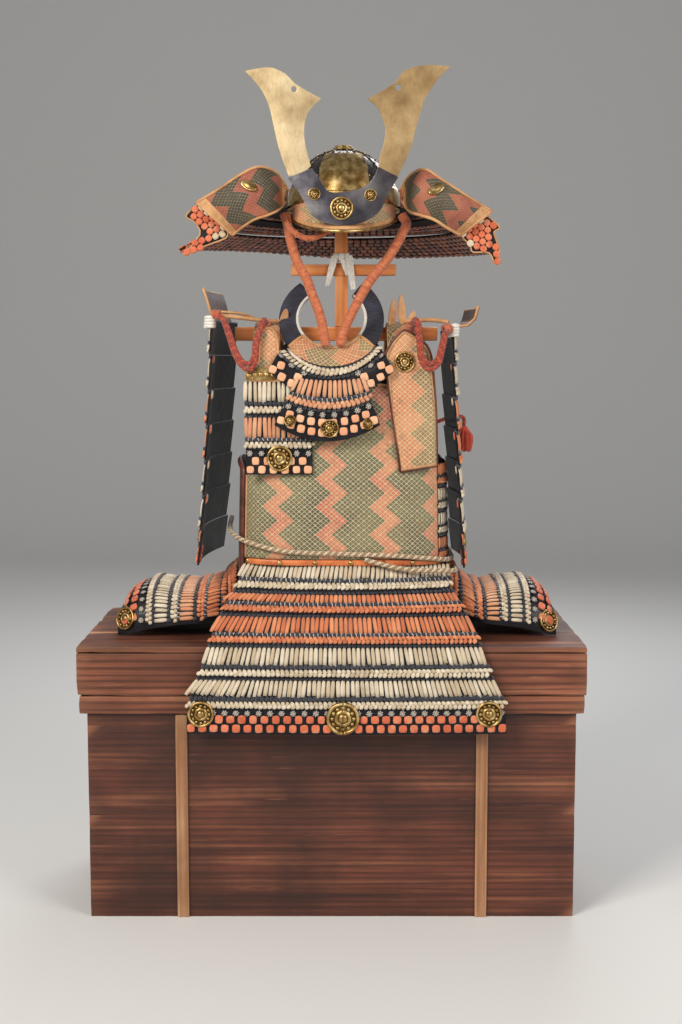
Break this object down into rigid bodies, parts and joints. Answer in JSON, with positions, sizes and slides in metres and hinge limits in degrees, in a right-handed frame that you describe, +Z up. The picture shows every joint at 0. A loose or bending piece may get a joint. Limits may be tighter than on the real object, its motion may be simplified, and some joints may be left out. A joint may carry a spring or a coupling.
{
  "type": "samurai armour on its stand and chest",
  "caption": "Laced samurai armour with horned helmet, printed-leather cuirass and long skirts, on a wooden T-stand set on its storage chest",
  "frame": {"origin": "middle of the chest's underside, on the surface it stands on", "axes": "+Z up, the armour's front looks along -Y, +X is to the viewer's right"},
  "size_m": [0.937, 0.4977, 1.56],
  "materials": {
    "chest_wood": "worn oiled board",
    "batten_wood": "worn pale board",
    "stand_wood": "satin",
    "white_tape": "matte",
    "lacquer": "worn gloss lacquer",
    "printed_leather": "printed, matte",
    "orange_leather": "matte",
    "plain_leather": "matte",
    "laced_lames": "silk braid over lacquered lames",
    "gilt": "satin",
    "navy_cloth": "matte",
    "dark_steel": "polished, darkened",
    "orange_cord": "matte",
    "waist_braid": "matte"
  },
  "bodies": {
    "root": {"chest_body": "chest_wood", "chest_lid": "chest_wood", "chest_batten_left": "batten_wood", "chest_batten_right": "batten_wood", "stand_base": "stand_wood", "stand_post": "stand_wood", "shoulder_bar": "stand_wood", "head_bar": "stand_wood", "helmet_rest": "stand_wood", "stand_tape": "white_tape", "cuirass_wrap": "lacquer", "breast_leather": "printed_leather", "waist_band": "orange_leather", "side_plate": "plain_leather", "shoulder_strap_left": "plain_leather", "shoulder_strap_right": "plain_leather", "skirt_front_1": "laced_lames", "skirt_front_2": "laced_lames", "skirt_front_3": "laced_lames", "skirt_front_4": "laced_lames", "skirt_front_5_left": "laced_lames", "skirt_front_5_right": "laced_lames", "skirt_back": "laced_lames", "skirt_left": "laced_lames", "skirt_right": "laced_lames", "sode_left": "laced_lames", "sode_right": "laced_lames", "sode_top_left": "lacquer", "sode_top_right": "lacquer", "sendan_panel": "laced_lames", "sendan_top": "gilt", "kyubi_plate": "printed_leather", "throat_collar": "navy_cloth", "throat_plate": "printed_leather", "throat_lame_1": "laced_lames", "throat_lame_2": "laced_lames", "helmet_bowl": "dark_steel", "helmet_ring": "gilt", "helmet_front_plate": "gilt", "helmet_brim": "printed_leather", "neck_guard_1": "lacquer", "neck_guard_2": "lacquer", "neck_guard_3": "lacquer", "wing_left": "printed_leather", "wing_right": "printed_leather", "turned_lames_left": "laced_lames", "turned_lames_right": "laced_lames", "crest_base": "dark_steel", "horn_left": "gilt", "horn_right": "gilt", "chin_cord_left": "orange_cord", "chin_cord_right": "orange_cord", "shoulder_loop_left": "orange_cord", "shoulder_loop_right": "orange_cord", "waist_cord_upper": "waist_braid", "waist_cord_lower": "waist_braid", "back_cord": "orange_cord", "back_tassel": "orange_cord"}
  },
  "joints": []
}
